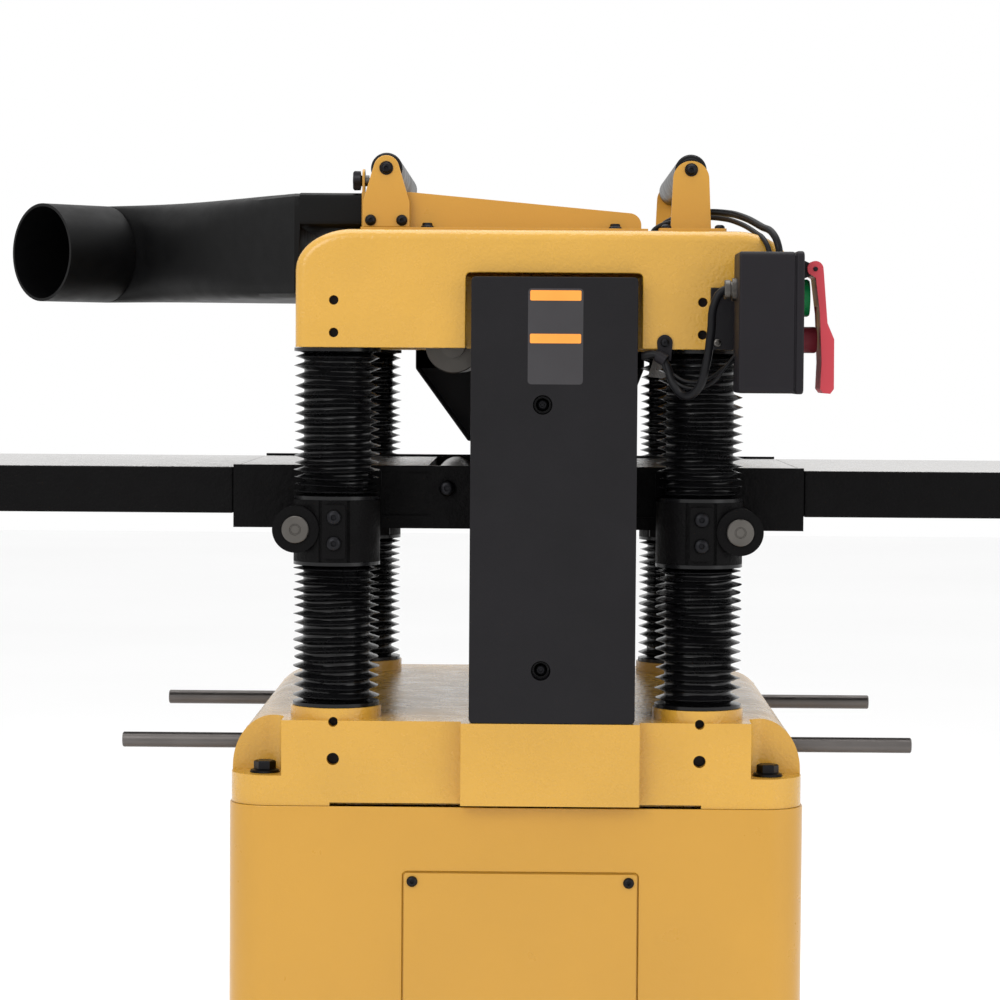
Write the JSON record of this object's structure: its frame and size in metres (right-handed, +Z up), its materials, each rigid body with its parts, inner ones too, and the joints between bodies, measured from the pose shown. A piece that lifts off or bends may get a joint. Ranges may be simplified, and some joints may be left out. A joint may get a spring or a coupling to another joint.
{
  "type": "thickness planer",
  "caption": "Closed-stand thickness planer: fixed cutting head on columns with bellows, rising table with extension tables, belt cover, side stop paddle and angled dust chute.",
  "frame": {"origin": "on the floor under the cabinet, in the middle between the four columns", "axes": "+X towards the infeed end, where the operator stands; +Y towards the handwheel side, away from the belt cover; +Z up"},
  "size_m": [1.22, 0.807, 1.1405],
  "materials": {
    "yellow_paint": "semi-gloss paint with a light orange-peel texture over cast and sheet metal",
    "black_paint": "satin black powder coat",
    "black_cast_iron": "sandy black paint on cast iron, tops and edges machined bright",
    "ground_steel": "ground and oiled steel",
    "dark_steel": "plain dark steel bar",
    "bellows_rubber": "glossy black pleated rubber",
    "belt_rubber": "matt black rubber",
    "roller_rubber": "smooth black rubber sleeve",
    "black_plastic": "fine-grained moulded black plastic",
    "green_plastic": "moulded green plastic",
    "dark_red_plastic": "moulded dark red plastic",
    "red_plastic": "moulded red plastic",
    "cable_jacket": "black cable jacket"
  },
  "bodies": {
    "frame": {"cabinet_shell": "yellow_paint", "motor_access_panel": "yellow_paint", "base_casting": "yellow_paint", "head_casting": "yellow_paint", "dust_hood": "yellow_paint", "rear_left_roller_bracket": "yellow_paint", "rear_right_roller_bracket": "yellow_paint", "front_left_roller_bracket": "yellow_paint", "front_right_roller_bracket": "yellow_paint", "rear_left_column": "ground_steel", "rear_right_column": "ground_steel", "front_left_column": "ground_steel", "front_right_column": "ground_steel", "rear_left_lower_bellows": "bellows_rubber", "rear_left_upper_bellows": "bellows_rubber", "rear_right_lower_bellows": "bellows_rubber", "rear_right_upper_bellows": "bellows_rubber", "front_left_lower_bellows": "bellows_rubber", "front_left_upper_bellows": "bellows_rubber", "front_right_lower_bellows": "bellows_rubber", "front_right_upper_bellows": "bellows_rubber", "belt_cover": "black_paint", "drive_chain_cover": "black_paint", "motor": "black_paint", "feed_gearbox": "black_cast_iron", "elevation_chain": "ground_steel", "dust_chute": "black_plastic", "switch_box": "black_plastic", "drive_belt": "belt_rubber", "motor_cable": "cable_jacket", "control_lead": "cable_jacket"},
    "table": {"table_casting": "black_cast_iron", "outfeed_extension": "black_cast_iron", "infeed_extension": "black_cast_iron", "left_elevating_screw": "ground_steel", "right_elevating_screw": "ground_steel"},
    "rear_bed_roller": {"rear_bed_roller": "ground_steel"},
    "front_bed_roller": {"front_bed_roller": "ground_steel"},
    "rear_table_lock": {"rear_table_lock": "ground_steel"},
    "front_table_lock": {"front_table_lock": "ground_steel"},
    "handwheel": {"handwheel": "black_cast_iron"},
    "handwheel_grip": {"handwheel_grip": "black_plastic"},
    "left_sprocket_nut": {"left_sprocket_nut": "ground_steel"},
    "right_sprocket_nut": {"right_sprocket_nut": "ground_steel"},
    "cutterhead": {"cutterhead": "ground_steel", "cutterhead_pulley": "ground_steel"},
    "motor_pulley": {"motor_pulley": "ground_steel"},
    "infeed_roller": {"infeed_roller": "ground_steel"},
    "outfeed_roller": {"outfeed_roller": "ground_steel"},
    "anti_kickback_fingers": {"anti_kickback_fingers": "ground_steel"},
    "rear_return_roller": {"rear_return_roller": "roller_rubber"},
    "front_return_roller": {"front_return_roller": "roller_rubber"},
    "feed_shift_knob": {"feed_shift_knob": "black_plastic"},
    "stop_paddle": {"stop_paddle": "red_plastic"},
    "start_button": {"start_button": "green_plastic"},
    "stop_button": {"stop_button": "dark_red_plastic"},
    "rear_left_lift_bar": {"rear_left_lift_bar": "dark_steel"},
    "rear_right_lift_bar": {"rear_right_lift_bar": "dark_steel"},
    "front_left_lift_bar": {"front_left_lift_bar": "dark_steel"},
    "front_right_lift_bar": {"front_right_lift_bar": "dark_steel"}
  },
  "joints": [
    {"name": "handwheel_turn", "type": "hinge", "parent": "frame", "child": "handwheel", "pos_m": [0.04, 0.33, 0.54], "axis": [0, 1, 0], "range_deg": [-5100, 7980]},
    {"name": "handwheel_grip_spin", "type": "hinge", "parent": "handwheel", "child": "handwheel_grip", "pos_m": [-0.0201, 0.33, 0.4799], "axis": [0, 1, 0], "continuous": true},
    {"name": "table_rise", "type": "slide", "parent": "frame", "child": "table", "axis": [0, 0, 1], "range_m": [-0.056, 0.088], "deforming": ["rear_left_lower_bellows", "rear_left_upper_bellows", "rear_right_lower_bellows", "rear_right_upper_bellows", "front_left_lower_bellows", "front_left_upper_bellows", "front_right_lower_bellows", "front_right_upper_bellows"]},
    {"name": "left_nut_turn", "type": "hinge", "parent": "frame", "child": "left_sprocket_nut", "pos_m": [0.04, -0.15, 0.58], "axis": [0, 0, 1], "range_deg": [-5100, 7980]},
    {"name": "right_nut_turn", "type": "hinge", "parent": "frame", "child": "right_sprocket_nut", "pos_m": [0.04, 0.15, 0.58], "axis": [0, 0, 1], "range_deg": [-5100, 7980]},
    {"name": "rear_bed_roller_spin", "type": "hinge", "parent": "table", "child": "rear_bed_roller", "pos_m": [-0.07, 0, 0.8114], "axis": [0, 1, 0], "continuous": true},
    {"name": "front_bed_roller_spin", "type": "hinge", "parent": "table", "child": "front_bed_roller", "pos_m": [0.09, 0, 0.8114], "axis": [0, 1, 0], "continuous": true},
    {"name": "rear_lock_turn", "type": "hinge", "parent": "table", "child": "rear_table_lock", "pos_m": [-0.2135, 0, 0.774], "axis": [0, 1, 0], "range_deg": [0, 60]},
    {"name": "front_lock_turn", "type": "hinge", "parent": "table", "child": "front_table_lock", "pos_m": [0.2135, 0, 0.774], "axis": [0, -1, 0], "range_deg": [0, 60]},
    {"name": "cutterhead_spin", "type": "hinge", "parent": "frame", "child": "cutterhead", "pos_m": [0.01, 0, 0.965], "axis": [0, -1, 0], "continuous": true},
    {"name": "motor_spin", "type": "hinge", "parent": "frame", "child": "motor_pulley", "pos_m": [0.035, 0, 0.23], "axis": [0, -1, 0], "continuous": true},
    {"name": "infeed_roller_spin", "type": "hinge", "parent": "frame", "child": "infeed_roller", "pos_m": [0.085, 0, 0.952], "axis": [0, 1, 0], "continuous": true},
    {"name": "outfeed_roller_spin", "type": "hinge", "parent": "frame", "child": "outfeed_roller", "pos_m": [-0.065, 0, 0.952], "axis": [0, 1, 0], "continuous": true},
    {"name": "anti_kickback_swing", "type": "hinge", "parent": "frame", "child": "anti_kickback_fingers", "pos_m": [0.16, 0, 0.962], "axis": [0, 1, 0], "range_deg": [0, 30]},
    {"name": "rear_return_roller_spin", "type": "hinge", "parent": "frame", "child": "rear_return_roller", "pos_m": [-0.1315, 0, 1.125], "axis": [0, 1, 0], "continuous": true},
    {"name": "front_return_roller_spin", "type": "hinge", "parent": "frame", "child": "front_return_roller", "pos_m": [0.167, 0, 1.125], "axis": [0, 1, 0], "continuous": true},
    {"name": "feed_shift", "type": "slide", "parent": "frame", "child": "feed_shift_knob", "axis": [0, 1, 0], "range_m": [-0.01, 0.01]},
    {"name": "stop_paddle_swing", "type": "hinge", "parent": "frame", "child": "stop_paddle", "pos_m": [0.2745, -0.345, 1.024], "axis": [0, -1, 0], "range_deg": [-0.5, 80]},
    {"name": "start_button_press", "type": "slide", "parent": "frame", "child": "start_button", "axis": [-1, 0, 0], "range_m": [0, 0.004], "stiffness_N_per_m": 400},
    {"name": "stop_button_press", "type": "slide", "parent": "frame", "child": "stop_button", "axis": [-1, 0, 0], "range_m": [0, 0.004], "stiffness_N_per_m": 400},
    {"name": "rear_left_lift_bar_slide", "type": "slide", "parent": "frame", "child": "rear_left_lift_bar", "axis": [-1, 0, 0], "range_m": [-0.075, 0]},
    {"name": "rear_right_lift_bar_slide", "type": "slide", "parent": "frame", "child": "rear_right_lift_bar", "axis": [-1, 0, 0], "range_m": [-0.075, 0]},
    {"name": "front_left_lift_bar_slide", "type": "slide", "parent": "frame", "child": "front_left_lift_bar", "axis": [1, 0, 0], "range_m": [-0.075, 0]},
    {"name": "front_right_lift_bar_slide", "type": "slide", "parent": "frame", "child": "front_right_lift_bar", "axis": [1, 0, 0], "range_m": [-0.075, 0]}
  ],
  "couplings": [
    {"joint": "handwheel_turn", "follows": "table_rise", "rad_per_m": 1570.8},
    {"joint": "left_nut_turn", "follows": "table_rise", "rad_per_m": 1570.8},
    {"joint": "right_nut_turn", "follows": "table_rise", "rad_per_m": 1570.8},
    {"joint": "motor_spin", "follows": "cutterhead_spin", "ratio": 0.7},
    {"joint": "infeed_roller_spin", "follows": "cutterhead_spin", "ratio": 0.0058824},
    {"joint": "outfeed_roller_spin", "follows": "cutterhead_spin", "ratio": 0.0058824}
  ]
}
